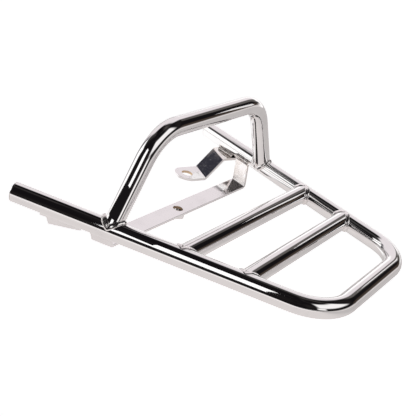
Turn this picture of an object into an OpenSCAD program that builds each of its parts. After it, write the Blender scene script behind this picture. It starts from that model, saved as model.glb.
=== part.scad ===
// Motorcycle luggage rack of chromed steel tube, welded.
// X points to the right rail, Y to the open front of the rack, Z up.
// The centre of the strap hole, on top of the strap, is the origin.

/* [Tube] */
// Outside diameter of every tube
tube_od = 19; // [16:0.5:22]
// Wall thickness of every tube
tube_wall = 1.6; // [1:0.1:2.5]
// How far each face of the wall draws in where the tube is bent
bend_draw = 0.15; // [0.12:0.01:0.25]

/* [Main loop] */
// From the axis of the rear bar to the front ends of the rails
deck_length = 295; // [275:1:360]
// Distance between the rail axes at the rear bar axis
rear_width = 172; // [150:1:200]
// Angle of each rail from the centre line
rail_splay = 15.4; // [10:0.1:18]
// Bend radius of the rear corners, at the tube axis
corner_radius = 47; // [40:1:55]
// Length that the end cap reaches into the rail
cap_plug_length = 8; // [5:1:15]
// Thickness of the cap outside the rail
cap_lip = 2.4; // [2:0.1:4]
// Clearance of the cap in the rail bore
cap_clearance = 0.1; // [0.05:0.05:0.3]

/* [Cross tubes] */
// Front cross tube, in percent of the way from the rear bar to the hoop
cross_front_share = 67.25; // [60:0.25:75]
// Rear cross tube, in percent of the way from the rear bar to the hoop
cross_rear_share = 38.45; // [35:0.05:45]

/* [Hoop] */
// From the front ends of the rails back to the hoop feet
hoop_back = 93.5; // [85:0.5:110]
// Height of the hoop bar axis over the rail axes, along the lean
hoop_height = 85; // [75:1:110]
// Lean of the hoop towards the front
hoop_lean = 3.6; // [0:0.1:8]
// Angle of each leg from the vertical, seen from the rear
leg_angle = 30; // [20:0.5:35]
// Bend radius of the hoop, at the tube axis
hoop_radius = 50; // [40:1:60]

/* [Strap] */
// From the front ends of the rails back to the centre of the strap
strap_back = 78.3; // [73:0.1:85]
// Width of the flat bar
strap_width = 20; // [16:0.5:24]
// Thickness of the flat bar
strap_thickness = 3; // [2:0.5:4]
// Drop from the rail axes to the top of the strap
strap_drop = 25.5; // [22:0.5:32]
// From the rail axis in to the outer face of the fold, across the rack
strap_inset = 17.5; // [15:0.1:21]
// Bolt hole in the middle of the strap
strap_hole_d = 10.5; // [6.5:0.5:12]
// Inner radius of the folds at both ends of the flat bar
strap_bend = 1; // [0.5:0.5:4]
// Lean of the folded-up ends out to the rails
end_lean = 14; // [8:1:16]
// Slant of the folded-up ends towards the front, in the plane of the bar
end_slant = 21; // [10:1:24]
// From the rail axes down to the top edges of the folded-up ends
end_below = 3.5; // [3:0.5:6]
// Nut under the strap, across flats
nut_flats = 16; // [15:0.5:17]
// Height of the nut
nut_height = 5.5; // [4:0.5:8]
// Bore of the nut
nut_bore = 8.5; // [5:0.5:10]

/* [Ears] */
// From the front ends of the rails back to the middle of the upper bend
ear_back = 36; // [30:0.5:40]
// Angle by which the ears point forward from straight inward
ear_yaw = 20; // [10:1:30]
// Angle of the bend lines from square
ear_skew = 14; // [0:1:20]
// Width of the ear plate
ear_width = 30; // [26:1:34]
// Thickness of the ear plate
ear_thickness = 3; // [2:0.5:4]
// Drop from the pad to the tongue
ear_drop = 24.5; // [12:0.5:30]
// Length of the sloping part, seen from above
ear_run = 20; // [14:0.5:28]
// Length of the pad, from the upper bend outwards
pad_length = 16; // [15:0.5:20]
// From the rail axis to the middle of the upper bend, across the rack
ear_reach = 17; // [15:0.5:18]
// From the lower bend to the bolt hole
tongue_length = 20.5; // [18:0.5:30]
// Bolt hole in the tongue
ear_hole_d = 13; // [8:0.5:14]

/* [Welds] */
// Leg of the weld beads
weld_leg = 3; // [2:0.25:4]
// Clearance between the bead and the tubes
weld_gap = 0.24; // [0.2:0.02:0.4]
// Radius of the straight beads under the rails
seam_radius = 1.8; // [1.2:0.1:2.4]

/* [Hidden] */
tube_r = tube_od / 2;
bore_r = tube_r - tube_wall;
rail_half = rear_width / 2;
// Places along the rack, from the rear bar axis
hoop_y = deck_length - hoop_back;
strap_y = deck_length - strap_back;
ear_y = deck_length - ear_back;
cross_front_y = hoop_y * cross_front_share / 100;
cross_rear_y = hoop_y * cross_rear_share / 100;
fit = 0.02;
reach = 400;
section_steps = 28;
bend_step = 8;
weld_steps = 24;
plate_bend = 2;
bend_lap = 0.5;
// Unit vector of the right rail, towards the front
rail_dir = [sin(rail_splay), cos(rail_splay), 0];
// Rear corner: the tube turns from the rail into the bar
corner_turn = 90 - rail_splay;
corner_setback = corner_radius * tan(corner_turn / 2);
rail_start = [rail_half, 0, 0] + corner_setback * rail_dir;
rail_end = [rail_half + deck_length * tan(rail_splay), deck_length, 0];
rail_length = norm(rail_end - rail_start);
bar_half = rail_half - corner_setback;
// Hoop, from the leg foot on the rail axis
hoop_half = rail_half + hoop_y * tan(rail_splay);
hoop_turn = 90 - leg_angle;
hoop_setback = hoop_radius * tan(hoop_turn / 2);
leg_length = hoop_height / cos(leg_angle) - hoop_setback;
hoop_bar_half = hoop_half - hoop_height * tan(leg_angle) - hoop_setback;
leg_dir = [-sin(leg_angle), cos(leg_angle) * sin(hoop_lean), cos(leg_angle) * cos(hoop_lean)];
// Strap and ears
strap_top_z = -strap_drop;
strap_half = rail_half + strap_y * tan(rail_splay) - strap_inset;
pad_z = -tube_r - fit;
// Half width of the bent sheet, square to its fold lines, that covers the bar past the middle
strap_cover = (strap_half + strap_width) * sin(rail_splay) + strap_width;
end_rise = strap_drop - end_below;
// Shift of the folded-up ends towards the front for each mm of height
end_shift = cos(rail_splay) * tan(end_slant) / cos(end_lean) - sin(rail_splay) * tan(end_lean);
fold_steps = 8;
// Beads that lie against the inner side of the rail
seam_reach = tube_r + fit + seam_radius;
ear_seam_z = pad_z + seam_radius;
strap_seam_z = seam_radius + fit - end_below;
strap_seam_length = strap_width + 4;

function unit(v) = v / norm(v);
function rail_x(y) = rail_half + y * tan(rail_splay);

// Drawn from the rear bar axis, then moved to the strap hole
module placed() {
    color([0.78, 0.78, 0.8])
        translate([0, -strap_y, strap_drop]) children();
}

module side(left) {
    mirror([left ? 1 : 0, 0, 0]) children();
}

// Straight tube along +Z
module pipe(length) {
    difference() {
        cylinder(h = length, r = tube_r, $fn = section_steps);
        translate([0, 0, -1])
            cylinder(h = length + 2, r = bore_r, $fn = section_steps);
    }
}

// Tube bend in the XY plane round the origin, from angle 0.
// The straights reach past its ends by the lap, and its thinner wall lies in theirs.
module bend(radius, turn) {
    rotate_extrude(angle = turn, $fn = 360 / bend_step)
        translate([radius, 0])
            difference() {
                circle(r = tube_r - bend_draw, $fn = section_steps);
                circle(r = bore_r + bend_draw, $fn = section_steps);
            }
}

// Rod along the axis of the right rail, as the cutter for what is welded on
module rail_rod(radius) {
    translate([rail_half, 0, 0])
        rotate([-90, 0, -rail_splay])
            cylinder(h = reach, r = radius, $fn = section_steps * 2);
}

module main_loop() {
    placed() {
        for (left = [false, true]) side(left) {
            translate(rail_start - bend_lap * rail_dir)
                rotate([-90, 0, -rail_splay])
                    pipe(rail_length + bend_lap);
            translate([bar_half, corner_radius, 0])
                rotate([0, 0, -90])
                    bend(corner_radius, corner_turn);
        }
        translate([-bar_half - bend_lap, 0, 0])
            rotate([0, 90, 0])
                pipe(2 * (bar_half + bend_lap));
    }
}

// Right leg and bend of the hoop, in its own plane with Y up
module hoop_leg() {
    translate([hoop_half, 0, 0])
        rotate([0, 0, leg_angle])
            rotate([-90, 0, 0])
                pipe(leg_length + bend_lap);
    translate([hoop_bar_half, hoop_height - hoop_radius, 0])
        rotate([0, 0, leg_angle])
            bend(hoop_radius, hoop_turn);
}

module hoop() {
    placed()
        difference() {
            translate([0, hoop_y, 0])
                rotate([90 - hoop_lean, 0, 0]) {
                    for (left = [false, true]) side(left) hoop_leg();
                    translate([-hoop_bar_half - bend_lap, hoop_height, 0])
                        rotate([0, 90, 0])
                            pipe(2 * (hoop_bar_half + bend_lap));
                }
            for (left = [false, true]) side(left) rail_rod(tube_r + fit);
        }
}

module cross_tube(y) {
    placed()
        difference() {
            translate([-rail_x(y), y, 0])
                rotate([0, 90, 0])
                    pipe(2 * rail_x(y));
            for (left = [false, true]) side(left) rail_rod(tube_r + fit);
        }
}

module cross_tube_front() {
    cross_tube(cross_front_y);
}

module cross_tube_rear() {
    cross_tube(cross_rear_y);
}

// Points of an arc in a side view
function arc(c, r, a0, a1) = [for (i = [0:fold_steps]) let (a = a0 + (a1 - a0) * i / fold_steps)
    c + r * [cos(a), sin(a)]];

// Side view of one half of the strap, square to the rail: flat, fold and leaning end
module strap_profile() {
    out = strap_bend + strap_thickness;
    middle = [-out, strap_bend];
    up = 2 * end_rise * [sin(end_lean), cos(end_lean)];
    outer = arc(middle, out, -90, -end_lean);
    inner = arc(middle, strap_bend, -end_lean, -90);
    flat = strap_half / cos(rail_splay) + strap_width;
    polygon(concat([[-flat, -strap_thickness]], outer, [outer[fold_steps] + up, inner[0] + up],
        inner, [[-flat, 0]]));
}

// Outline of the strap seen along its length: square flat, end slanted to the front
module strap_edges() {
    half = strap_width / 2;
    shift = end_shift * (end_rise - strap_bend);
    low = -strap_thickness - 1;
    polygon([[-half, low], [half, low], [half, strap_bend], [half + shift, end_rise],
        [shift - half, end_rise], [-half, strap_bend]]);
}

// One half of the flat bar, a little past the middle
module strap_side(left) {
    side(left)
        difference() {
            intersection() {
                translate([strap_half, strap_y, strap_top_z])
                    rotate([90, 0, -rail_splay])
                        translate([0, 0, -strap_cover])
                            linear_extrude(height = 2 * strap_cover)
                                strap_profile();
                translate([-strap_width, strap_y, strap_top_z])
                    rotate([90, 0, 90])
                        linear_extrude(height = reach)
                            strap_edges();
            }
            rail_rod(tube_r + fit);
        }
}

module strap() {
    placed()
        difference() {
            union() {
                strap_side(false);
                strap_side(true);
            }
            translate([0, strap_y, strap_top_z - strap_thickness - 1])
                cylinder(h = strap_thickness + 2, d = strap_hole_d, $fn = 40);
        }
}

module strap_nut() {
    placed()
        translate([0, strap_y, strap_top_z - strap_thickness - nut_height])
            difference() {
                cylinder(h = nut_height, d = nut_flats / cos(30), $fn = 6);
                translate([0, 0, -1])
                    cylinder(h = nut_height + 2, d = nut_bore, $fn = 32);
            }
}

// Plan of an ear, along +X from the upper bend to the round tip
module ear_plan() {
    hole_x = ear_run + tongue_length;
    difference() {
        union() {
            translate([-pad_length, -ear_width / 2])
                square([pad_length + hole_x, ear_width]);
            translate([hole_x, 0])
                circle(d = ear_width, $fn = 48);
        }
        translate([hole_x, 0])
            circle(d = ear_hole_d, $fn = 36);
    }
}

// Side view of the folded ear plate, top of the pad at zero
module ear_profile() {
    far = pad_length + tongue_length + ear_width;
    slope_t = ear_thickness * tan(atan2(ear_drop, ear_run) / 2);
    polygon([[-far, 0], [0, 0], [ear_run, -ear_drop], [far, -ear_drop],
        [far, -ear_drop - ear_thickness], [ear_run - slope_t, -ear_drop - ear_thickness],
        [-slope_t, -ear_thickness], [-far, -ear_thickness]]);
}

module ear(left) {
    placed() side(left)
        translate([rail_x(ear_y) - ear_reach, ear_y, pad_z])
            rotate([0, 0, 180 - ear_yaw])
                intersection() {
                    translate([0, 0, -ear_drop - 2 * ear_thickness])
                        linear_extrude(height = ear_drop + 3 * ear_thickness)
                            ear_plan();
                    rotate([90, 0, -ear_skew])
                        translate([0, 0, -2 * ear_width])
                            linear_extrude(height = 4 * ear_width)
                                ear_profile();
                }
}

module ear_left() {
    ear(true);
}

module ear_right() {
    ear(false);
}

// Cap pressed into a front end of a rail
module end_cap(left) {
    dome_r = (pow(tube_r, 2) + pow(cap_lip, 2)) / (2 * cap_lip);
    placed() side(left)
        translate(rail_end)
            rotate([-90, 0, -rail_splay]) {
                translate([0, 0, -cap_plug_length])
                    cylinder(h = cap_plug_length, r = bore_r - cap_clearance, $fn = section_steps);
                intersection() {
                    cylinder(h = cap_lip, r = tube_r, $fn = section_steps);
                    translate([0, 0, cap_lip + 0.6 - dome_r])
                        sphere(r = dome_r, $fn = 64);
                }
            }
}

module end_cap_left() {
    end_cap(true);
}

module end_cap_right() {
    end_cap(false);
}

// Point of the joint between a branch tube and the rail, both widened by the gap.
// Directions are unit vectors and the axes cross at the origin.
function joint_point(t, b, e1, e2) =
    let (r = tube_r + weld_gap)
    let (a = r * (cos(t) * e1 + sin(t) * e2))
    let (ap = a - (a * rail_dir) * rail_dir)
    let (bp = b - (b * rail_dir) * rail_dir)
    let (k = ap * bp)
    let (disc = max(0, k * k - (bp * bp) * (ap * ap - r * r)))
    a + ((sqrt(disc) - k) / (bp * bp)) * b;

// Moves a point onto the widened surface round an axis
function on_round(p, axis) =
    let (along = (p * axis) * axis)
    along + (tube_r + weld_gap) * unit(p - along);

// One cross section of the bead, from the root over both toes
function bead_section(t, b, e1, e2) =
    let (s = joint_point(t, b, e1, e2))
    let (d = unit(joint_point(t + 22.5, b, e1, e2) - joint_point(t - 22.5, b, e1, e2)))
    let (nb = unit(s - (s * b) * b))
    let (nr = unit(s - (s * rail_dir) * rail_dir))
    let (ca = unit(cross(d, nr)))
    let (cb = unit(cross(d, nb)))
    let (da = ca * (nb - b) > 0 ? ca : -ca)
    let (db = cb * b > 0 ? cb : -cb)
    let (a = on_round(s + weld_leg * da, rail_dir))
    let (c = on_round(s + weld_leg * db, b))
    let (up = unit(nb + nr))
    let (m = (a + c) / 2 + 0.28 * weld_leg * up)
    let (swell = 0.08 * weld_leg * up)
    [s, on_round(s + weld_leg / 2 * da, rail_dir), a, (a + m) / 2 + swell, m,
        (c + m) / 2 + swell, c, on_round(s + weld_leg / 2 * db, b)];

// Ring of weld round a branch tube that stands on the right rail
module bead_ring(b) {
    e1 = unit(cross(b, rail_dir));
    e2 = cross(b, e1);
    rows = [for (i = [0:weld_steps - 1]) bead_section(i * 360 / weld_steps, b, e1, e2)];
    points = [for (row = rows) for (p = row) p];
    n = len(rows[0]);
    faces = [for (i = [0:weld_steps - 1]) for (j = [0:n - 1]) for (half = [0, 1])
        let (i2 = (i + 1) % weld_steps)
        let (j2 = (j + 1) % n)
        half == 0 ? [i * n + j, i2 * n + j, i2 * n + j2] : [i * n + j, i2 * n + j2, i * n + j2]];
    polyhedron(points = points, faces = faces, convexity = 4);
}

module weld_hoop(left) {
    placed() side(left)
        translate([hoop_half, hoop_y, 0]) bead_ring(leg_dir);
}

module weld_cross(y, left) {
    placed() side(left)
        translate([rail_x(y), y, 0]) bead_ring([-1, 0, 0]);
}

module weld_hoop_left() {
    weld_hoop(true);
}

module weld_hoop_right() {
    weld_hoop(false);
}

module weld_front_left() {
    weld_cross(cross_front_y, true);
}

module weld_front_right() {
    weld_cross(cross_front_y, false);
}

module weld_rear_left() {
    weld_cross(cross_rear_y, true);
}

module weld_rear_right() {
    weld_cross(cross_rear_y, false);
}

// Straight bead along the inner side of the rail, its axis at height z from the rail axis
module seam(y, z, length, left) {
    offset = sqrt(pow(seam_reach, 2) - pow(z, 2));
    placed() side(left)
        translate([rail_x(y), y, z])
            rotate([-90, 0, -rail_splay])
                translate([-offset, 0, -length / 2])
                    cylinder(h = length, r = seam_radius, $fn = 16);
}

module seam_ear(left) {
    seam(ear_y - 6, ear_seam_z, ear_width - 6, left);
}

module seam_strap(left) {
    seam(strap_y + end_shift * end_rise, strap_seam_z, strap_seam_length, left);
}

module seam_ear_left() {
    seam_ear(true);
}

module seam_ear_right() {
    seam_ear(false);
}

module seam_strap_left() {
    seam_strap(true);
}

module seam_strap_right() {
    seam_strap(false);
}

main_loop();
hoop();
cross_tube_front();
cross_tube_rear();
strap();
strap_nut();
ear_left();
ear_right();
end_cap_left();
end_cap_right();
weld_hoop_left();
weld_hoop_right();
weld_front_left();
weld_front_right();
weld_rear_left();
weld_rear_right();
seam_ear_left();
seam_ear_right();
seam_strap_left();
seam_strap_right();
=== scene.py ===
# Chromed steel luggage rack: the dressed pieces over the measured frame.
import math
import bpy
from mathutils import Matrix, Vector, noise


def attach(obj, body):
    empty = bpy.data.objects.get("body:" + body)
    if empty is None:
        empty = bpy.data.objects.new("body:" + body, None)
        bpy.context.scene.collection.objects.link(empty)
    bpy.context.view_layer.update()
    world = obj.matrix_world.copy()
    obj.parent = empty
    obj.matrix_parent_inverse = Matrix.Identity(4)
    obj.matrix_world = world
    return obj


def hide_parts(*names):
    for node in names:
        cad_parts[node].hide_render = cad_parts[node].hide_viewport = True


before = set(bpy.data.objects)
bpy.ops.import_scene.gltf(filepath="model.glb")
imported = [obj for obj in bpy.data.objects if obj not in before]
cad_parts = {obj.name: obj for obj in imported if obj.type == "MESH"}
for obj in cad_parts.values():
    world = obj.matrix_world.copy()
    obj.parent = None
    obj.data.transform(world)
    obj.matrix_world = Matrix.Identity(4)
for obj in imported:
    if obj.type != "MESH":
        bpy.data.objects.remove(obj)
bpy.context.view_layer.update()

scene = bpy.context.scene
ops = bpy.ops

# Sizes in metres. The centre of the strap hole, on top of the strap, is the origin.
MM = 0.001
TUBE_R = 9.5 * MM
WALL = 1.6 * MM
FIT = 0.02 * MM
DECK = Vector((0, -216.7, 25.5)) * MM
SPLAY = math.radians(15.4)
RAIL_HALF = 86 * MM
DECK_LENGTH = 295 * MM
CORNER_R = 47 * MM
HOOP_Y = 201.5 * MM
HOOP_HEIGHT = 85 * MM
HOOP_LEAN = math.radians(3.6)
LEG_ANGLE = math.radians(30)
HOOP_R = 50 * MM
CROSS_FRONT_Y = 0.6725 * HOOP_Y
CROSS_REAR_Y = 0.3845 * HOOP_Y
STRAP_Y = 216.7 * MM
STRAP_T = 3 * MM
STRAP_WIDTH = 20 * MM
STRAP_RISE = 22 * MM
STRAP_LEAN = math.radians(14)
STRAP_SLANT = math.radians(21)
STRAP_HOLE_R = 5.25 * MM
EAR_Y = 259 * MM
EAR_T = 3 * MM
EAR_HOLE_R = 6.5 * MM
SEAM_R = 1.8 * MM
SEAM_LENGTH = 24 * MM
EASED = 0.35 * MM
COPE_REACH = 22 * MM
TUBE_SIDES = 72
BEND_STEP = 1.6 * MM

RAIL = Vector((math.sin(SPLAY), math.cos(SPLAY), 0))
RAIL_LEFT = Vector((-math.sin(SPLAY), math.cos(SPLAY), 0))
UP = Vector((0, 0, 1))


def rail_x(y):
    return RAIL_HALF + y * math.tan(SPLAY)


def mirrored(v):
    return Vector((-v.x, v.y, v.z))


# Helpers for selecting, editing and joining
def bare():
    if bpy.context.object and bpy.context.object.mode != "OBJECT":
        ops.object.mode_set(mode="OBJECT")
    ops.object.select_all(action="DESELECT")


def aim(direction):
    return direction.to_track_quat("Z", "Y").to_euler()


def only(piece):
    bare()
    piece.select_set(True)
    bpy.context.view_layer.objects.active = piece


def settle(piece, name):
    only(piece)
    ops.object.transform_apply(location=True, rotation=True, scale=True)
    piece.name = name
    piece.data.name = name
    return piece


def edit(piece, select="SELECT"):
    only(piece)
    ops.object.mode_set(mode="EDIT")
    ops.mesh.select_mode(type="VERT")
    ops.mesh.select_all(action=select)


def done():
    ops.object.mode_set(mode="OBJECT")


def push(vector):
    ops.mesh.extrude_region_move(TRANSFORM_OT_translate={"value": vector})


def pick_verts(piece, test):
    """Selects the vertices that pass the test, from edit mode and back."""
    ops.object.mode_set(mode="OBJECT")
    mesh = piece.data
    for p in mesh.polygons:
        p.select = False
    for e in mesh.edges:
        e.select = False
    for v in mesh.vertices:
        v.select = bool(test(v.co))
    ops.object.mode_set(mode="EDIT")


def outward(piece):
    edit(piece)
    ops.mesh.remove_doubles(threshold=0.000001)
    ops.mesh.normals_make_consistent(inside=False)
    done()


def finish_with(piece, kind, **values):
    only(piece)
    mod = piece.modifiers.new(kind.lower(), kind)
    for key, value in values.items():
        setattr(mod, key, value)
    ops.object.modifier_apply(modifier=mod.name)
    return piece


def smooth(piece, degrees=35):
    only(piece)
    ops.object.shade_smooth_by_angle(angle=math.radians(degrees))


def cut_with(piece, cutter, operation="DIFFERENCE"):
    only(piece)
    mod = piece.modifiers.new("cut", "BOOLEAN")
    mod.operation = operation
    mod.solver = "EXACT"
    mod.object = cutter
    ops.object.modifier_apply(modifier=mod.name)
    only(cutter)
    ops.object.delete()
    only(piece)


def place(piece, slot, *nodes):
    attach(piece, "root")
    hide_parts(*nodes)


# Camera at the photograph's viewing angle
def set_camera():
    """Place, turn, lens and shift come from the rack's edges in the photograph."""
    data = bpy.data.cameras.new("photo_camera")
    camera = bpy.data.objects.new("photo_camera", data)
    scene.collection.objects.link(camera)
    right = Vector((0.54775020, -0.80035520, 0.24372378))
    down = Vector((-0.24232908, -0.43059658, -0.86940393))
    ahead = Vector((0.80077858, 0.41715482, -0.42980870))
    turn = Matrix((right, -down, -ahead)).transposed().to_4x4()
    turn.translation = Vector((-0.71299, -0.38680, 0.39122))
    camera.matrix_world = turn
    data.sensor_width = 36
    data.lens = 74.238
    data.shift_x = 0.03904
    data.shift_y = -0.00093
    data.clip_start = 0.01
    data.clip_end = 50
    scene.camera = camera


set_camera()
scene.view_settings.view_transform = "Standard"


# Helpers for node trees
def link(tree, a, b):
    tree.links.new(a, b)


def math_node(tree, operation, a, b=None, c=None):
    n = tree.nodes.new("ShaderNodeMath")
    n.operation = operation
    for i, value in enumerate((a, b, c)):
        if value is None:
            continue
        if isinstance(value, (int, float)):
            n.inputs[i].default_value = value
        else:
            link(tree, value, n.inputs[i])
    return n.outputs[0]


def soft_step(tree, value, low, high, out_low=0.0, out_high=1.0):
    n = tree.nodes.new("ShaderNodeMapRange")
    n.interpolation_type = "SMOOTHSTEP"
    for name, v in (("Value", value), ("From Min", low), ("From Max", high),
                    ("To Min", out_low), ("To Max", out_high)):
        if isinstance(v, (int, float)):
            n.inputs[name].default_value = v
        else:
            link(tree, v, n.inputs[name])
    return n.outputs["Result"]


def mix_colour(tree, factor, a, b):
    n = tree.nodes.new("ShaderNodeMix")
    n.data_type = "RGBA"
    for socket, v in ((n.inputs["Factor"], factor), (n.inputs[6], a), (n.inputs[7], b)):
        if isinstance(v, (int, float)):
            socket.default_value = v
        elif isinstance(v, tuple):
            socket.default_value = (*v, 1.0)
        else:
            link(tree, v, socket)
    return n.outputs[2]


def new_group(name, inputs, outputs):
    tree = bpy.data.node_groups.new(name, "ShaderNodeTree")
    for label, kind, value in inputs:
        s = tree.interface.new_socket(name=label, in_out="INPUT", socket_type=kind)
        if value is not None:
            s.default_value = value
    for label, kind in outputs:
        tree.interface.new_socket(name=label, in_out="OUTPUT", socket_type=kind)
    return tree, tree.nodes.new("NodeGroupInput"), tree.nodes.new("NodeGroupOutput")


# Studio: pale floor, dark ceiling, soft cards and boards round the rack
def card_group():
    tree, g_in, g_out = new_group("studio_card", [
        ("Azimuth", "NodeSocketFloat", 0.0), ("Elevation", "NodeSocketFloat", 0.0),
        ("Middle", "NodeSocketFloat", 0.0), ("Half Width", "NodeSocketFloat", 0.3),
        ("Low", "NodeSocketFloat", 0.0), ("High", "NodeSocketFloat", 1.0),
        ("Edge", "NodeSocketFloat", 0.05)], [("Mask", "NodeSocketFloat")])
    i = g_in.outputs
    away = math_node(tree, "SUBTRACT", i["Azimuth"], i["Middle"])
    away = math_node(tree, "ABSOLUTE", math_node(tree, "WRAP", away, math.pi, -math.pi))
    wide = math_node(tree, "ADD", i["Half Width"], i["Edge"])
    tight = math_node(tree, "SUBTRACT", i["Half Width"], i["Edge"])
    across = soft_step(tree, away, tight, wide, 1.0, 0.0)
    low_a = math_node(tree, "SUBTRACT", i["Low"], i["Edge"])
    low_b = math_node(tree, "ADD", i["Low"], i["Edge"])
    high_a = math_node(tree, "SUBTRACT", i["High"], i["Edge"])
    high_b = math_node(tree, "ADD", i["High"], i["Edge"])
    above = soft_step(tree, i["Elevation"], low_a, low_b)
    below = soft_step(tree, i["Elevation"], high_a, high_b, 1.0, 0.0)
    mask = math_node(tree, "MULTIPLY", math_node(tree, "MULTIPLY", across, above), below)
    link(tree, mask, g_out.inputs["Mask"])
    return tree


# Cards of the studio: middle azimuth, half width, low and high elevation and soft edge
# in degrees, then the colour. Azimuth is 0 towards the open front and 90 to the right.
CARDS = [
    (20, 85, -30, 4, 5, (1.12, 1.12, 1.12)),
    (38, 43, 8, 53, 4, (0.86, 0.81, 0.83)),
    (64, 22, 44, 59, 6, (0.80, 0.76, 0.78)),
    (-12, 12, 36, 66, 8, (0.05, 0.048, 0.048)),
    (91, 8, 12, 37, 4, (0.13, 0.12, 0.115)),
    (2, 7, -6, 31, 3, (0.030, 0.030, 0.042)),
    (117, 12, 5, 17, 4, (0.060, 0.045, 0.036)),
    (72, 17, -25, 15, 4, (1.15, 1.14, 1.14)),
    (-20, 17, 4, 35, 3, (1.20, 1.20, 1.20)),
    (-27, 15, -14, 14, 2, (1.15, 1.13, 1.12)),
    (170, 34, 26, 58, 5, (1.02, 1.00, 1.00)),
    (-161, 8, 10, 23, 3, (1.05, 1.03, 1.02)),
]
DARK = (0.007, 0.006, 0.007)
GREY = (0.075, 0.068, 0.066)
DIM = (0.016, 0.014, 0.014)
TABLE = (0.765, 0.725, 0.715)
FAR_TABLE = (0.98, 0.95, 0.94)
RIGHT_TABLE = (0.56, 0.535, 0.53)
WHITE_CARD = (1.12, 1.12, 1.12)


def set_world():
    world = bpy.data.worlds.new("studio")
    scene.world = world
    world.use_nodes = True
    tree = world.node_tree
    tree.nodes.clear()
    coords = tree.nodes.new("ShaderNodeTexCoord")
    parts = tree.nodes.new("ShaderNodeSeparateXYZ")
    link(tree, coords.outputs["Generated"], parts.inputs[0])
    azimuth = math_node(tree, "ARCTAN2", parts.outputs["X"], parts.outputs["Y"])
    elevation = math_node(tree, "ARCSINE", parts.outputs["Z"])
    group = card_group()
    # The edge of the table rises towards azimuth 120
    tilt = math_node(tree, "COSINE", math_node(tree, "SUBTRACT", azimuth, math.radians(120)))
    level = math_node(tree, "SUBTRACT", elevation, math_node(tree, "MULTIPLY", tilt, 0.13))
    horizon = soft_step(tree, level, math.radians(-5), math.radians(5))
    # The ceiling is nearly black, with faint grey streaks overhead
    beams = tree.nodes.new("ShaderNodeTexNoise")
    beams.inputs["Scale"].default_value = 2.6
    beams.inputs["Detail"].default_value = 3.0
    link(tree, coords.outputs["Generated"], beams.inputs["Vector"])
    streak = soft_step(tree, beams.outputs["Fac"], 0.46, 0.68)
    high = soft_step(tree, elevation, math.radians(60), math.radians(74))
    ceiling = mix_colour(tree, streak, DARK, mix_colour(tree, high, DIM, GREY))
    colour = mix_colour(tree, horizon, TABLE, ceiling)
    for middle, half, low, high, edge, tone in CARDS:
        card = tree.nodes.new("ShaderNodeGroup")
        card.node_tree = group
        link(tree, azimuth, card.inputs["Azimuth"])
        link(tree, elevation, card.inputs["Elevation"])
        for label, degrees in (("Middle", middle), ("Half Width", half), ("Low", low),
                               ("High", high), ("Edge", edge)):
            card.inputs[label].default_value = math.radians(degrees)
        colour = mix_colour(tree, card.outputs["Mask"], colour, tone)
    # The camera itself sees plain white
    rays = tree.nodes.new("ShaderNodeLightPath")
    colour = mix_colour(tree, rays.outputs["Is Camera Ray"], colour, (1.0, 1.0, 1.0))
    background = tree.nodes.new("ShaderNodeBackground")
    link(tree, colour, background.inputs["Color"])
    out = tree.nodes.new("ShaderNodeOutputWorld")
    link(tree, background.outputs[0], out.inputs[0])


set_world()


def lay_floor():
    """Seen by the camera as white with a faint shadow, and in the metal by zones of tone."""
    bare()
    ops.mesh.primitive_plane_add(size=8, location=(0, -0.05, -0.085))
    floor = settle(bpy.context.object, "studio_floor")
    mat = bpy.data.materials.new("pale_floor")
    mat.use_nodes = True
    tree = mat.node_tree
    tree.nodes.clear()
    coords = tree.nodes.new("ShaderNodeTexCoord")
    parts = tree.nodes.new("ShaderNodeSeparateXYZ")
    link(tree, coords.outputs["Object"], parts.inputs[0])
    # Brighter towards the left and towards the front, darker towards the right
    along = math_node(tree, "ADD", math_node(tree, "MULTIPLY", parts.outputs["X"], 0.53),
                      math_node(tree, "MULTIPLY", parts.outputs["Y"], 0.85))
    far = soft_step(tree, along, 0.08, 0.2)
    near = soft_step(tree, parts.outputs["X"], -0.62, -0.26, 1.0, 0.0)
    tone = mix_colour(tree, near, TABLE, FAR_TABLE)
    tone = mix_colour(tree, far, tone, WHITE_CARD)
    side = math_node(tree, "SUBTRACT", math_node(tree, "MULTIPLY", parts.outputs["X"], 0.87),
                     math_node(tree, "MULTIPLY", parts.outputs["Y"], 0.5))
    tone = mix_colour(tree, soft_step(tree, side, 0.06, 0.34), tone, RIGHT_TABLE)
    brink = soft_step(tree, parts.outputs["X"], -0.98, -0.78, 1.0, 0.0)
    tone = mix_colour(tree, brink, tone, DARK)
    rays = tree.nodes.new("ShaderNodeLightPath")
    glow = tree.nodes.new("ShaderNodeEmission")
    link(tree, tone, glow.inputs["Color"])
    matt = tree.nodes.new("ShaderNodeBsdfDiffuse")
    matt.inputs["Color"].default_value = (0.82, 0.82, 0.82, 1)
    lift = tree.nodes.new("ShaderNodeEmission")
    lift.inputs["Color"].default_value = (1, 1, 1, 1)
    lift.inputs["Strength"].default_value = 0.8
    seen = tree.nodes.new("ShaderNodeAddShader")
    link(tree, matt.outputs[0], seen.inputs[0])
    link(tree, lift.outputs[0], seen.inputs[1])
    pick = tree.nodes.new("ShaderNodeMixShader")
    link(tree, rays.outputs["Is Camera Ray"], pick.inputs[0])
    link(tree, glow.outputs[0], pick.inputs[1])
    link(tree, seen.outputs[0], pick.inputs[2])
    out = tree.nodes.new("ShaderNodeOutputMaterial")
    link(tree, pick.outputs[0], out.inputs[0])
    floor.data.materials.append(mat)


lay_floor()


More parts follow.
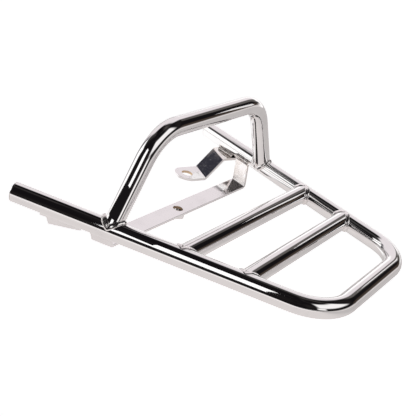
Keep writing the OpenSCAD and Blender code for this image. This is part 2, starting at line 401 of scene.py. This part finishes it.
def studio_board(name, low, high, tone):
    """An upright board seen in the metal only, square to X, from corner to corner."""
    bare()
    middle = (Vector(low) + Vector(high)) / 2
    ops.mesh.primitive_plane_add(size=1, location=middle, rotation=(0, math.pi / 2, 0))
    board = bpy.context.object
    board.scale = (high[2] - low[2], high[1] - low[1], 1)
    settle(board, name)
    mat = bpy.data.materials.new(name)
    mat.use_nodes = True
    tree = mat.node_tree
    tree.nodes.clear()
    rays = tree.nodes.new("ShaderNodeLightPath")
    clear = tree.nodes.new("ShaderNodeBsdfTransparent")
    glow = tree.nodes.new("ShaderNodeEmission")
    glow.inputs["Color"].default_value = (*tone, 1)
    pick = tree.nodes.new("ShaderNodeMixShader")
    link(tree, rays.outputs["Is Glossy Ray"], pick.inputs[0])
    link(tree, clear.outputs[0], pick.inputs[1])
    link(tree, glow.outputs[0], pick.inputs[2])
    out = tree.nodes.new("ShaderNodeOutputMaterial")
    link(tree, pick.outputs[0], out.inputs[0])
    board.data.materials.append(mat)


studio_board("side_board", (-0.63, -0.27, 0.225), (-0.63, 0.012, 0.80), (1.25, 1.25, 1.25))
studio_board("dark_flag", (-0.165, -0.06, 0.050), (-0.165, 0.04, 0.090), (0.010, 0.009, 0.010))
studio_board("thin_strip", (0.49, -0.262, 0.19), (0.49, -0.205, 0.335), (0.85, 0.83, 0.83))


# Finishes
def plating_group():
    """Slow waves and smudges of a hand-polished, plated surface, its fine grain, and a mask of
    painted highlight along the right rail.
    """
    tree, g_in, g_out = new_group("plating_marks", [
        ("Wave Size", "NodeSocketFloat", 60.0), ("Grain Size", "NodeSocketFloat", 1500.0),
        ("Wave", "NodeSocketFloat", 0.8), ("Grain", "NodeSocketFloat", 0.2),
        ("Base Roughness", "NodeSocketFloat", 0.05), ("Smudge", "NodeSocketFloat", 0.05),
        ("Scratch", "NodeSocketFloat", 0.0)],
        [("Height", "NodeSocketFloat"), ("Roughness", "NodeSocketFloat"),
         ("Tint", "NodeSocketFloat"), ("Heat", "NodeSocketFloat")])
    coords = tree.nodes.new("ShaderNodeTexCoord")
    i = g_in.outputs

    def cloud(scale, detail):
        n = tree.nodes.new("ShaderNodeTexNoise")
        link(tree, coords.outputs["Object"], n.inputs["Vector"])
        if isinstance(scale, (int, float)):
            n.inputs["Scale"].default_value = scale
        else:
            link(tree, scale, n.inputs["Scale"])
        n.inputs["Detail"].default_value = detail
        return n.outputs["Fac"]

    wave = cloud(i["Wave Size"], 1.0)
    grain = cloud(i["Grain Size"], 2.0)
    smudge = soft_step(tree, cloud(38.0, 4.0), 0.45, 0.75)
    height = math_node(tree, "ADD", math_node(tree, "MULTIPLY", wave, i["Wave"]),
                       math_node(tree, "MULTIPLY", grain, i["Grain"]))
    rough = math_node(tree, "ADD", i["Base Roughness"],
                      math_node(tree, "MULTIPLY", smudge, i["Smudge"]))
    # Fine scratches: noise stretched along one line
    lines = tree.nodes.new("ShaderNodeMapping")
    lines.inputs["Rotation"].default_value = (0.5, 0.3, 0.9)
    lines.inputs["Scale"].default_value = (14.0, 1.0, 3.0)
    link(tree, coords.outputs["Object"], lines.inputs["Vector"])
    hair = tree.nodes.new("ShaderNodeTexNoise")
    hair.inputs["Scale"].default_value = 180.0
    hair.inputs["Detail"].default_value = 2.0
    link(tree, lines.outputs["Vector"], hair.inputs["Vector"])
    cut = math_node(tree, "MULTIPLY", soft_step(tree, hair.outputs["Fac"], 0.64, 0.74),
                    i["Scratch"])
    rough = math_node(tree, "MULTIPLY_ADD", cut, 0.4, rough)
    height = math_node(tree, "MULTIPLY_ADD", cut, -0.25, height)
    link(tree, height, g_out.inputs["Height"])
    link(tree, rough, g_out.inputs["Roughness"])
    link(tree, smudge, g_out.inputs["Tint"])
    # Painted highlight: a pale, cloudy zone along the right rail, paler in colour and less
    # metallic, standing in for the bright glare there
    parts = tree.nodes.new("ShaderNodeSeparateXYZ")
    link(tree, coords.outputs["Object"], parts.inputs[0])
    rail = math_node(tree, "MULTIPLY_ADD", parts.outputs["Y"], math.tan(SPLAY), rail_x(-DECK.y))
    inset = math_node(tree, "SUBTRACT", rail, parts.outputs["X"])
    painted_glare = soft_step(tree, inset, 0.016, 0.026, 1.0, 0.0)
    link(tree, math_node(tree, "MULTIPLY", painted_glare, soft_step(tree, cloud(120.0, 3.0), 0.3, 0.6)),
         g_out.inputs["Heat"])
    return tree


PLATING = plating_group()
# Pale tint of the painted highlight along the right rail
PAINTED_GLARE_TINT = (1.0, 0.93, 0.895)


def chrome(name, bright, dull, waves, grain, rough, depth, painted_glare_share=0.0, scratch=0.0):
    """Plated metal. Waves and grain are a size and a share of the height, rough is the clean
    and the smudged part, depth is the height of the marks in metres."""
    mat = bpy.data.materials.new(name)
    mat.use_nodes = True
    tree = mat.node_tree
    shader = tree.nodes["Principled BSDF"]
    shader.inputs["Metallic"].default_value = 1.0
    marks = tree.nodes.new("ShaderNodeGroup")
    marks.node_tree = PLATING
    for label, value in (("Wave Size", waves[0]), ("Wave", waves[1]), ("Grain Size", grain[0]),
                         ("Grain", grain[1]), ("Base Roughness", rough[0]),
                         ("Smudge", rough[1]), ("Scratch", scratch)):
        marks.inputs[label].default_value = value
    colour = mix_colour(tree, marks.outputs["Tint"], bright, dull)
    roughness = marks.outputs["Roughness"]
    # Painted highlight: along the right rail the metal turns paler and a little less metallic
    if painted_glare_share:
        painted_glare = math_node(tree, "MULTIPLY", marks.outputs["Heat"], painted_glare_share)
        colour = mix_colour(tree, painted_glare, colour, PAINTED_GLARE_TINT)
        roughness = math_node(tree, "MULTIPLY_ADD", painted_glare, 0.05, roughness)
        link(tree, math_node(tree, "MULTIPLY_ADD", painted_glare, -0.2, 1.0), shader.inputs["Metallic"])
    link(tree, colour, shader.inputs["Base Color"])
    link(tree, roughness, shader.inputs["Roughness"])
    bump = tree.nodes.new("ShaderNodeBump")
    bump.inputs["Strength"].default_value = 1.0
    bump.inputs["Distance"].default_value = depth
    link(tree, marks.outputs["Height"], bump.inputs["Height"])
    link(tree, bump.outputs["Normal"], shader.inputs["Normal"])
    return mat


TUBE_CHROME = chrome("tube_chrome", (0.90, 0.885, 0.885), (0.86, 0.845, 0.85),
                     waves=(70, 1.0), grain=(1400, 0.02), rough=(0.03, 0.05), depth=0.00005)
# The plates carry the painted highlight along the right rail
PLATE_CHROME = chrome("plate_chrome", (0.90, 0.88, 0.885), (0.86, 0.84, 0.845),
                      waves=(90, 1.0), grain=(1600, 0.10), rough=(0.07, 0.08), depth=0.00006,
                      painted_glare_share=0.9, scratch=0.4)
WELD_CHROME = chrome("weld_chrome", (0.90, 0.875, 0.87), (0.82, 0.78, 0.77),
                     waves=(400, 0.5), grain=(2200, 0.2), rough=(0.20, 0.08), depth=0.00006)
# The seam beads carry the painted highlight along the right rail
SEAM_CHROME = chrome("seam_chrome", (0.90, 0.86, 0.84), (0.80, 0.74, 0.71),
                     waves=(420, 0.6), grain=(2200, 0.3), rough=(0.16, 0.10), depth=0.00008,
                     painted_glare_share=0.9)
BORE_METAL = chrome("bore_metal", (0.80, 0.62, 0.44), (0.42, 0.29, 0.18),
                    waves=(420, 0.8), grain=(1800, 0.5), rough=(0.42, 0.2), depth=0.00030)


# Tubes
def start_tube(point, direction):
    bare()
    ops.mesh.primitive_circle_add(vertices=TUBE_SIDES, radius=TUBE_R, fill_type="NOTHING",
                                  location=point, rotation=aim(direction))
    tube = bpy.context.object
    ops.object.transform_apply(location=True, rotation=True, scale=True)
    edit(tube)
    return tube


def bend_tube(centre, axis, turn, radius):
    steps = max(8, round(abs(turn) * radius / BEND_STEP))
    ops.mesh.spin(steps=steps, dupli=False, angle=-turn, use_auto_merge=False,
                  center=centre, axis=axis)


def wall_tube(tube):
    done()
    outward(tube)
    finish_with(tube, "SOLIDIFY", thickness=WALL, offset=-1.0, use_even_offset=True)


def make_main_loop():
    turn = math.pi / 2 - SPLAY
    setback = CORNER_R * math.tan(turn / 2)
    front = DECK + Vector((rail_x(DECK_LENGTH), DECK_LENGTH, 0))
    start = DECK + Vector((RAIL_HALF, 0, 0)) + setback * RAIL
    bar_half = RAIL_HALF - setback
    centre = DECK + Vector((bar_half, CORNER_R, 0))
    tube = start_tube(front, -RAIL)
    push(start - front)
    bend_tube(centre, UP, -turn, CORNER_R)
    push(Vector((-2 * bar_half, 0, 0)))
    bend_tube(mirrored(centre), UP, -turn, CORNER_R)
    push(mirrored(front) - mirrored(start))
    wall_tube(tube)
    smooth(tube)
    return settle(tube, "rack_loop")


def rail_rod(left, radius):
    bare()
    axis = RAIL_LEFT if left else RAIL
    middle = DECK + Vector((-RAIL_HALF if left else RAIL_HALF, 0, 0)) + 0.17 * axis
    ops.mesh.primitive_cylinder_add(vertices=192, radius=radius, depth=0.4, end_fill_type="NGON",
                                    location=middle, rotation=aim(axis))
    return settle(bpy.context.object, "rail_cutter")


def cope(tube):
    for left in (False, True):
        cut_with(tube, rail_rod(left, TUBE_R + FIT))


def make_hoop():
    lift = Vector((0, math.sin(HOOP_LEAN), math.cos(HOOP_LEAN)))
    out = Vector((0, -math.cos(HOOP_LEAN), math.sin(HOOP_LEAN)))
    foot = DECK + Vector((rail_x(HOOP_Y), HOOP_Y, 0))
    turn = math.pi / 2 - LEG_ANGLE
    setback = HOOP_R * math.tan(turn / 2)
    leg = Vector((-math.sin(LEG_ANGLE), 0, 0)) + math.cos(LEG_ANGLE) * lift
    leg_length = HOOP_HEIGHT / math.cos(LEG_ANGLE) - setback
    bar_half = foot.x - HOOP_HEIGHT * math.tan(LEG_ANGLE) - setback
    middle = DECK + Vector((0, HOOP_Y, 0)) + (HOOP_HEIGHT - HOOP_R) * lift
    centre = middle + Vector((bar_half, 0, 0))
    tube = start_tube(foot, leg)
    push(COPE_REACH * leg)
    push((leg_length - COPE_REACH) * leg)
    bend_tube(centre, out, turn, HOOP_R)
    push(Vector((-2 * bar_half, 0, 0)))
    bend_tube(mirrored(centre), out, turn, HOOP_R)
    down = -mirrored(leg)
    push((leg_length - COPE_REACH) * down)
    push(COPE_REACH * down)
    wall_tube(tube)
    cope(tube)
    smooth(tube)
    return settle(tube, "rack_hoop")


def make_cross(y, name):
    half = rail_x(y)
    tube = start_tube(DECK + Vector((half, y, 0)), Vector((-1, 0, 0)))
    push(Vector((-COPE_REACH, 0, 0)))
    push(Vector((2 * COPE_REACH - 2 * half, 0, 0)))
    push(Vector((-COPE_REACH, 0, 0)))
    wall_tube(tube)
    cope(tube)
    smooth(tube)
    return settle(tube, name)


loop_piece = make_main_loop()
loop_piece.data.materials.append(TUBE_CHROME)
place(loop_piece, "chrome_tube", "main_loop")
hoop_piece = make_hoop()
hoop_piece.data.materials.append(TUBE_CHROME)
place(hoop_piece, "chrome_tube", "hoop")
for y, node in ((CROSS_FRONT_Y, "cross_tube_front"), (CROSS_REAR_Y, "cross_tube_rear")):
    cross_piece = make_cross(y, "rack_" + node)
    cross_piece.data.materials.append(TUBE_CHROME)
    place(cross_piece, "chrome_tube", node)


# Flat bar, nut, ears and end caps
STRAP_HALF = rail_x(STRAP_Y) - 17.5 * MM
# Shift of the strap's upright ends towards the front for each metre of height
END_SHIFT = (math.cos(SPLAY) * math.tan(STRAP_SLANT) / math.cos(STRAP_LEAN)
             - math.sin(SPLAY) * math.tan(STRAP_LEAN))


def shift_verts(piece, test, vector):
    edit(piece)
    pick_verts(piece, test)
    ops.transform.translate(value=vector)
    done()


def round_hole(piece, centre, radius, depth):
    bare()
    ops.mesh.primitive_cylinder_add(vertices=72, radius=radius, depth=depth, location=centre)
    cut_with(piece, settle(bpy.context.object, "hole_cutter"))


def ease_edges(piece, width, segments=3, degrees=35):
    finish_with(piece, "BEVEL", width=width, segments=segments, limit_method="ANGLE",
                angle_limit=math.radians(degrees), harden_normals=False)
    smooth(piece, 40)


def true_faces(piece):
    """Flat faces shade flat, and only the eased edges turn the light."""
    finish_with(piece, "WEIGHTED_NORMAL", weight=100, keep_sharp=True)


def dress_holes(piece, tests):
    """The walls of the holes take the dull bore metal."""
    for face in piece.data.polygons:
        for centre, radius in tests:
            flat = Vector((face.center.x - centre[0], face.center.y - centre[1]))
            if flat.length < radius and abs(face.normal.z) < 0.6:
                face.material_index = 1


def make_nut():
    """Hexagon with turned corners and a threaded bore."""
    height, core, crest, pitch_half = 5.5 * MM, 3.95, 4.6, 0.6 * MM
    middle = (0, 0, -STRAP_T - height / 2)
    bare()
    ops.mesh.primitive_cylinder_add(vertices=6, radius=8 * MM / math.cos(math.pi / 6),
                                    depth=height, location=middle)
    nut = bpy.context.object
    ops.object.transform_apply(location=True, rotation=True, scale=True)
    bare()
    ops.mesh.primitive_cylinder_add(vertices=96, radius=9.2 * MM, depth=height,
                                    location=middle)
    turned = bpy.context.object
    ops.object.transform_apply(location=True, rotation=True, scale=True)
    finish_with(turned, "BEVEL", width=1.0 * MM, segments=2, limit_method="ANGLE")
    cut_with(nut, turned, "INTERSECT")
    bare()
    ops.mesh.primitive_circle_add(vertices=64, radius=crest * MM, fill_type="NGON",
                                  location=(0, 0, -9.0 * MM))
    tap = bpy.context.object
    ops.object.transform_apply(location=True, rotation=True, scale=True)
    edit(tap)
    for turn in range(10):
        push((0, 0, pitch_half))
        factor = core / crest if turn % 2 == 0 else crest / core
        ops.transform.resize(value=(factor, factor, 1))
    push((0, 0, 0.8 * MM))
    done()
    outward(tap)
    cut_with(nut, tap)
    smooth(nut, 30)
    return settle(nut, "strap_nut_turned")


def folded_strip(start, heading, across, thickness, width, runs):
    """A strip drawn from its end section: runs are a length, or (angle, mid radius) of a fold.
    A positive fold turns the strip up, away from the side it lies on."""
    lift = across.cross(heading).normalized()
    bare()
    ops.mesh.primitive_plane_add(size=1)
    strip = bpy.context.object
    turn = Matrix((across, lift, heading)).transposed().to_4x4()
    turn.translation = start
    strip.matrix_world = turn @ Matrix.Diagonal((width, thickness, 1, 1))
    ops.object.transform_apply(location=True, rotation=True, scale=True)
    edit(strip)
    place_now = start.copy()
    for run in runs:
        if isinstance(run, tuple):
            angle, radius = run
            side = 1 if angle > 0 else -1
            centre = place_now + side * radius * lift
            ops.mesh.spin(steps=10, dupli=False, angle=-angle, use_auto_merge=False,
                          center=centre, axis=across)
            back = Matrix.Rotation(angle, 3, across)
            place_now = centre + back @ (place_now - centre)
            heading = back @ heading
            lift = back @ lift
        else:
            push(heading * run)
            place_now = place_now + heading * run
    done()
    outward(strip)
    return strip


def other_side(piece, name):
    """A copy on the left, with its own mesh, the right way out."""
    only(piece)
    ops.object.duplicate()
    copy = bpy.context.object
    copy.scale = (-1, 1, 1)
    settle(copy, name)
    edit(copy)
    ops.mesh.normals_make_consistent(inside=False)
    done()
    return copy


def strap_side():
    """Right half of the flat bar, folded up and leaning out to the rail."""
    fold, sheet_length, sheet_width = 1 * MM, 155 * MM, 130 * MM
    out = fold + STRAP_T
    square = Vector((math.cos(SPLAY), -math.sin(SPLAY), 0))
    start = Vector((STRAP_HALF, 0, -STRAP_T / 2)) - sheet_length * square
    strip = folded_strip(start, square, -RAIL, STRAP_T, sheet_width,
                         [sheet_length - out, (math.pi / 2 - STRAP_LEAN, fold + STRAP_T / 2),
                          40 * MM])
    bare()
    ops.mesh.primitive_plane_add(size=1, location=(0.15, 0, -5 * MM))
    edges = bpy.context.object
    edges.scale = (0.3, STRAP_WIDTH, 1)
    ops.object.transform_apply(location=True, rotation=True, scale=True)
    shift = END_SHIFT * (STRAP_RISE - fold)
    edit(edges)
    push((0, 0, 5 * MM + fold))
    push((0, shift, STRAP_RISE - fold))
    done()
    outward(edges)
    cut_with(strip, edges, "INTERSECT")
    edit(strip, "DESELECT")
    ops.mesh.select_mode(type="VERT")
    pick_verts(strip, lambda c: abs(c.x) < 0.01 * MM)
    ops.mesh.select_mode(type="FACE")
    ops.mesh.delete(type="FACE")
    done()
    return settle(strip, "strap_bar")


def make_strap():
    """The whole bar: both halves joined at the middle, drilled, edges eased."""
    strap = strap_side()
    half = other_side(strap, "strap_other_half")
    bare()
    half.select_set(True)
    strap.select_set(True)
    bpy.context.view_layer.objects.active = strap
    ops.object.join()
    outward(strap)
    round_hole(strap, (0, 0, -STRAP_T / 2), STRAP_HOLE_R, 8 * MM)
    ease_edges(strap, EASED)
    return settle(strap, "strap_bar")


def make_ear():
    """Right ear: pad under the rail, slope down, tongue with a round tip and its bolt hole."""
    yaw = math.radians(20)
    skew = math.radians(14)
    drop, run = 24.5 * MM, 20 * MM
    pad, tongue, half = 16 * MM, 20.5 * MM, 15 * MM
    reach = run + tongue
    origin = DECK + Vector((rail_x(EAR_Y) - 17 * MM, EAR_Y, -TUBE_R - FIT))
    along = Vector((-math.cos(yaw), math.sin(yaw), 0))
    aside = Vector((-math.sin(yaw), -math.cos(yaw), 0))
    heading = (math.cos(skew) * along - math.sin(skew) * aside).normalized()
    across = UP.cross(heading).normalized() * -1
    slope = math.atan2(drop, run)
    mid_r = 3.4 * MM
    back = EAR_T * math.tan(slope / 2)
    tangent = mid_r * math.tan(slope / 2)
    start = origin - 45 * MM * heading - Vector((0, 0, EAR_T / 2))
    ear = folded_strip(start, heading, across, EAR_T, 95 * MM,
                       [45 * MM - back / 2 - tangent, (-slope, mid_r),
                        math.hypot(run, drop) - 2 * tangent, (slope, mid_r), 60 * MM])
    bare()
    ops.mesh.primitive_circle_add(vertices=96, radius=half, fill_type="NGON")
    plan = bpy.context.object
    turn = Matrix((along, aside, along.cross(aside))).transposed().to_4x4()
    shift_verts(plan, lambda c: c.x < -0.01 * MM, (-1, 0, 0))
    for v in plan.data.vertices:
        if v.co.x < -0.5:
            v.co.x = -pad - reach
    turn.translation = origin + reach * along - Vector((0, 0, 60 * MM))
    plan.matrix_world = turn
    ops.object.transform_apply(location=True, rotation=True, scale=True)
    edit(plan)
    push((0, 0, 90 * MM))
    done()
    outward(plan)
    cut_with(ear, plan, "INTERSECT")
    hole = origin + reach * along
    round_hole(ear, (hole.x, hole.y, hole.z - drop), EAR_HOLE_R, 20 * MM)
    ease_edges(ear, EASED)
    return settle(ear, "ear_plate_right"), hole


# Outline of an end cap in mm: depth past the tube end, radius
CAP_STEPS = [(-8.0, 7.8), (-0.02, 7.8), (0.0, 8.3), (0.35, 8.6), (0.5, 9.35), (0.9, 9.42),
             (1.35, 8.6), (1.75, 7.2), (2.05, 5.4), (2.28, 3.2), (2.36, 1.4)]


def make_cap():
    """Right end cap: plug in the bore, groove, rim and a low dome."""
    front = DECK + Vector((rail_x(DECK_LENGTH), DECK_LENGTH, 0))
    depth, radius = CAP_STEPS[0]
    bare()
    ops.mesh.primitive_circle_add(vertices=TUBE_SIDES, radius=radius * MM, fill_type="NGON",
                                  location=front + depth * MM * RAIL, rotation=aim(RAIL))
    cap = bpy.context.object
    ops.object.transform_apply(location=True, rotation=True, scale=True)
    edit(cap)
    for next_depth, next_radius in CAP_STEPS[1:]:
        push(RAIL * (next_depth - depth) * MM)
        ops.transform.resize(value=(next_radius / radius,) * 3)
        radius, depth = next_radius, next_depth
    push(RAIL * 0.03 * MM)
    ops.mesh.merge(type="CENTER")
    done()
    outward(cap)
    smooth(cap, 50)
    return settle(cap, "front_cap_right")


# Weld beads, laid ripple on ripple along the joint
def axis_part(p, axis):
    return p - p.dot(axis) * axis


def on_round(p, axis, radius=TUBE_R):
    return p.dot(axis) * axis + radius * axis_part(p, axis).normalized()


def joint_point(angle, branch, rail, e1, e2):
    a = TUBE_R * (math.cos(angle) * e1 + math.sin(angle) * e2)
    ap, bp = axis_part(a, rail), axis_part(branch, rail)
    k = ap.dot(bp)
    disc = max(0.0, k * k - bp.dot(bp) * (ap.dot(ap) - TUBE_R * TUBE_R))
    return a + ((math.sqrt(disc) - k) / bp.dot(bp)) * branch


def lumps(p, scale):
    return noise.noise(p * scale)


def lay_bead(name, centre, branch, rail, dimes=11, leg=2.7 * MM, seed=0.0):
    rings, around = dimes * 16, 18
    bare()
    ops.mesh.primitive_torus_add(major_segments=rings, minor_segments=around,
                                 major_radius=12 * MM, minor_radius=2 * MM)
    bead = bpy.context.object
    e1 = branch.cross(rail).normalized()
    e2 = branch.cross(e1)
    mark = Vector((seed, seed * 0.37, -seed))
    for i in range(rings):
        angle = 2 * math.pi * i / rings
        s = joint_point(angle, branch, rail, e1, e2)
        step = (joint_point(angle + 0.3, branch, rail, e1, e2)
                - joint_point(angle - 0.3, branch, rail, e1, e2)).normalized()
        nb = axis_part(s, branch).normalized()
        nr = axis_part(s, rail).normalized()
        ca, cb = step.cross(nr).normalized(), step.cross(nb).normalized()
        da = ca if ca.dot(nb - branch) > 0 else -ca
        db = cb if cb.dot(branch) > 0 else -cb
        keen = max(0.0, -nb.dot(nr))
        wide = leg * (1 - 0.3 * keen + 0.18 * lumps(s + mark, 160))
        a = on_round(s + wide * da, rail)
        c = on_round(s + wide * 0.95 * db, branch)
        up = (nb + nr).normalized()
        middle = (a + c) / 2 - 0.2 * MM * up
        half = (a - c) / 2 * 1.1
        low = (s - middle).length * 0.8
        for j in range(around):
            turn = 2 * math.pi * j / around
            u, w = math.cos(turn), math.sin(turn)
            if w > 0:
                beat = dimes * i / rings + 0.22 * u * u
                ripple = abs(math.sin(math.pi * beat)) ** 0.8 - 0.6
                high = ((0.36 - 0.2 * keen) * leg + 0.3 * MM * ripple
                        + 0.5 * MM * lumps(s + mark, 200))
            else:
                high = low
            p = middle + half * u + up * (high * w)
            bead.data.vertices[i * around + j].co = centre + p
    outward(bead)
    smooth(bead, 60)
    return settle(bead, name)


def lay_seam(name, y, z, seed, length=SEAM_LENGTH, radius=SEAM_R, dimes=10):
    """Straight bead along the inner side of the right rail."""
    inward = Vector((-math.cos(SPLAY), math.sin(SPLAY), 0))
    offset = math.sqrt((TUBE_R + radius) ** 2 - z * z)
    middle = DECK + Vector((rail_x(y), y, z)) + offset * inward
    rings, around = dimes * 8, 14
    bare()
    ops.mesh.primitive_circle_add(vertices=around, radius=radius, fill_type="NGON",
                                  location=middle - length / 2 * RAIL, rotation=aim(RAIL))
    seam = bpy.context.object
    ops.object.transform_apply(location=True, rotation=True, scale=True)
    edit(seam)
    for ring in range(rings):
        push(RAIL * length / rings)
    done()
    for v in seam.data.vertices:
        rel = v.co - middle
        along = rel.dot(RAIL)
        off = rel - along * RAIL
        ends = min(1.0, (length / 2 - abs(along)) / (1.6 * MM) + 0.35)
        beat = dimes * (along / length + 0.5) + 0.3 * (off.z / radius) ** 2
        ripple = abs(math.sin(math.pi * beat)) ** 0.8 - 0.6
        swell = ends * (0.98 + 0.34 * ripple + 0.34 * lumps(v.co + Vector((seed, 0, 0)), 300))
        v.co = middle + along * RAIL + off * swell
    outward(seam)
    smooth(seam, 60)
    return settle(seam, name)


def finish_piece(piece, metal, slot, node, bore=None):
    if slot == "chrome_plate":
        true_faces(piece)
    piece.data.materials.clear()
    piece.data.materials.append(metal)
    if bore:
        piece.data.materials.append(BORE_METAL)
        dress_holes(piece, bore)
    place(piece, slot, node)


strap_piece = make_strap()
finish_piece(strap_piece, PLATE_CHROME, "chrome_plate", "strap", [((0, 0), STRAP_HOLE_R + EASED)])
nut_piece = make_nut()
finish_piece(nut_piece, PLATE_CHROME, "chrome_plate", "strap_nut", [((0, 0), 5.2 * MM)])

right_ear, ear_hole = make_ear()
left_ear = other_side(right_ear, "ear_plate_left")
finish_piece(right_ear, PLATE_CHROME, "chrome_plate", "ear_right",
             [((ear_hole.x, ear_hole.y), EAR_HOLE_R + EASED)])
finish_piece(left_ear, PLATE_CHROME, "chrome_plate", "ear_left",
             [((-ear_hole.x, ear_hole.y), EAR_HOLE_R + EASED)])

right_cap = make_cap()
left_cap = other_side(right_cap, "front_cap_left")
finish_piece(right_cap, TUBE_CHROME, "chrome_tube", "end_cap_right")
finish_piece(left_cap, TUBE_CHROME, "chrome_tube", "end_cap_left")

leg_right = Vector((-math.sin(LEG_ANGLE), math.cos(LEG_ANGLE) * math.sin(HOOP_LEAN),
                    math.cos(LEG_ANGLE) * math.cos(HOOP_LEAN)))
JOINTS = [("hoop", HOOP_Y, leg_right), ("front", CROSS_FRONT_Y, Vector((-1, 0, 0))),
          ("rear", CROSS_REAR_Y, Vector((-1, 0, 0)))]
for number, (joint, y, branch) in enumerate(JOINTS):
    for side, rail in (("right", RAIL), ("left", RAIL_LEFT)):
        spot = DECK + Vector((rail_x(y), y, 0))
        if side == "left":
            spot, arm = mirrored(spot), mirrored(branch)
        else:
            arm = branch
        bead = lay_bead("bead_%s_%s" % (joint, side), spot, arm, rail,
                        seed=3.1 * number + (1.7 if side == "left" else 0.4))
        finish_piece(bead, WELD_CHROME, "chrome_weld", "weld_%s_%s" % (joint, side))

# Seat of each straight bead: place along the rail and height over its axis
SEAMS = [("ear", 253 * MM, -7.72 * MM),
         ("strap", STRAP_Y + END_SHIFT * STRAP_RISE, -1.68 * MM)]
for number, (seat, y, z) in enumerate(SEAMS):
    right_seam = lay_seam("bead_%s_right" % seat, y, z, 1.3 + number)
    left_seam = other_side(right_seam, "bead_%s_left" % seat)
    finish_piece(right_seam, SEAM_CHROME, "chrome_weld", "seam_%s_right" % seat)
    finish_piece(left_seam, SEAM_CHROME, "chrome_weld", "seam_%s_left" % seat)
